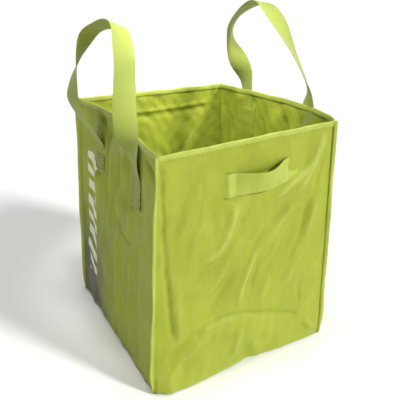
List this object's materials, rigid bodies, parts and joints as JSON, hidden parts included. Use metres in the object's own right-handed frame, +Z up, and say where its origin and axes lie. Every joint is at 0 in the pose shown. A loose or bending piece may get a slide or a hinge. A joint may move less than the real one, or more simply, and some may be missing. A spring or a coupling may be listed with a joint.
{
  "type": "open-topped storage bag",
  "caption": "Open box-shaped storage bag of woven polypropylene with bound seams, two webbing carrying loops and a front grab handle.",
  "frame": {"origin": "middle of the underside of the base, on the surface the bag stands on", "axes": "+X to the bag's right as seen from the side with the grab handle, +Y to the rear, +Z up"},
  "size_m": [0.5434, 0.528, 0.7969],
  "materials": {
    "fabric": "laminated woven polypropylene, satin",
    "binding_tape": "folded woven polypropylene tape",
    "webbing": "ribbed polypropylene webbing",
    "thread": "polyester sewing thread"
  },
  "bodies": {
    "root": {"front_panel": "fabric", "rear_panel": "fabric", "left_panel": "fabric", "right_panel": "fabric", "base_panel": "fabric", "left_front_patch": "fabric", "left_rear_patch": "fabric", "right_front_patch": "fabric", "right_rear_patch": "fabric", "grab_patch": "fabric", "front_rim_tape": "binding_tape", "rear_rim_tape": "binding_tape", "left_rim_tape": "binding_tape", "right_rim_tape": "binding_tape", "front_left_corner_tape": "binding_tape", "front_right_corner_tape": "binding_tape", "rear_right_corner_tape": "binding_tape", "rear_left_corner_tape": "binding_tape", "front_base_tape": "binding_tape", "rear_base_tape": "binding_tape", "left_base_tape": "binding_tape", "right_base_tape": "binding_tape", "left_front_leg": "webbing", "left_rear_leg": "webbing", "right_front_leg": "webbing", "right_rear_leg": "webbing", "grab_left_end": "webbing", "grab_right_end": "webbing", "left_front_stitching": "thread", "left_rear_stitching": "thread", "right_front_stitching": "thread", "right_rear_stitching": "thread", "grab_stitching": "thread", "front_rim_stitching": "thread", "rear_rim_stitching": "thread", "left_rim_stitching": "thread", "right_rim_stitching": "thread"},
    "left_loop": {"left_handle_loop": "webbing"},
    "right_loop": {"right_handle_loop": "webbing"},
    "grab_handle": {"grab_strap": "webbing"}
  },
  "joints": [
    {"name": "left_loop_swing", "type": "hinge", "parent": "root", "child": "left_loop", "pos_m": [-0.21591, 0.005, 0.568], "axis": [-0.1102, 0.9939, 0], "range_deg": [-100, 55]},
    {"name": "right_loop_swing", "type": "hinge", "parent": "root", "child": "right_loop", "pos_m": [0.26147, 0.021, 0.568], "axis": [0.0903, -0.9959, 0], "range_deg": [-100, 55]},
    {"name": "grab_handle_swing", "type": "hinge", "parent": "root", "child": "grab_handle", "pos_m": [0.032, -0.25866, 0.468], "axis": [1, 0, 0], "range_deg": [-20, 20]}
  ]
}
